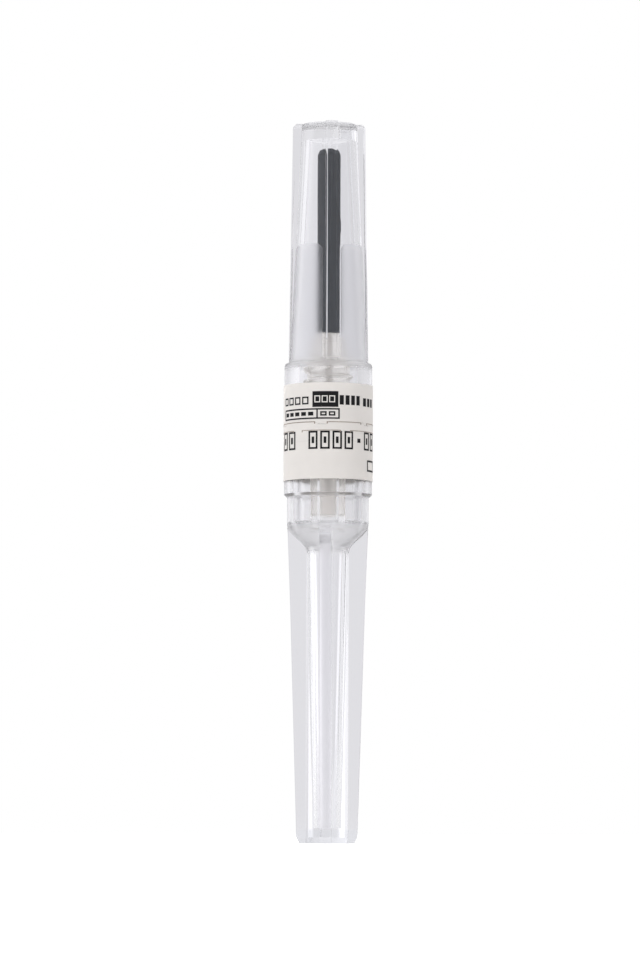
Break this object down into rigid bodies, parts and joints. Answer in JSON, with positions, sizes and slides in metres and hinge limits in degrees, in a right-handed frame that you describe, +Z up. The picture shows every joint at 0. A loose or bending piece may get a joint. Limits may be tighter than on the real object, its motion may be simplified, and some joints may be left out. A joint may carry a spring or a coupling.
{
  "type": "luer adapter",
  "caption": "Sealed luer adapter for blood collection: clear ribbed caps joined by a paper label, over a male luer cone, a threaded hub and a rubber-sleeved cannula.",
  "frame": {"origin": "centre of the front cap's closed end, on the surface that the part stands on", "axes": "+Z up the common axis, from the front cap towards the rear cap; the front cap's ribs point along X and Y"},
  "size_m": [0.011, 0.011, 0.088],
  "materials": {
    "cap_plastic": "clear, gloss",
    "hub_plastic": "clear, gloss",
    "steel": "drawn tube",
    "bond": "clear resin",
    "sleeve_rubber": "smooth, dusted",
    "label_paper": "matt, printed"
  },
  "bodies": {
    "front_cap_body": {"front_cap": "cap_plastic", "label_lower": "label_paper"},
    "adapter": {"hub": "hub_plastic", "cannula": "steel", "adhesive": "bond", "sleeve": "sleeve_rubber"},
    "rear_cap_body": {"rear_cap": "cap_plastic", "label_upper": "label_paper"}
  },
  "joints": [
    {"name": "adapter_out_of_front_cap", "type": "slide", "parent": "front_cap_body", "child": "adapter", "axis": [0, 0, 1], "range_m": [0, 0.016]},
    {"name": "rear_cap_off_adapter", "type": "slide", "parent": "adapter", "child": "rear_cap_body", "axis": [0, 0, 1], "range_m": [0, 0.038]}
  ]
}
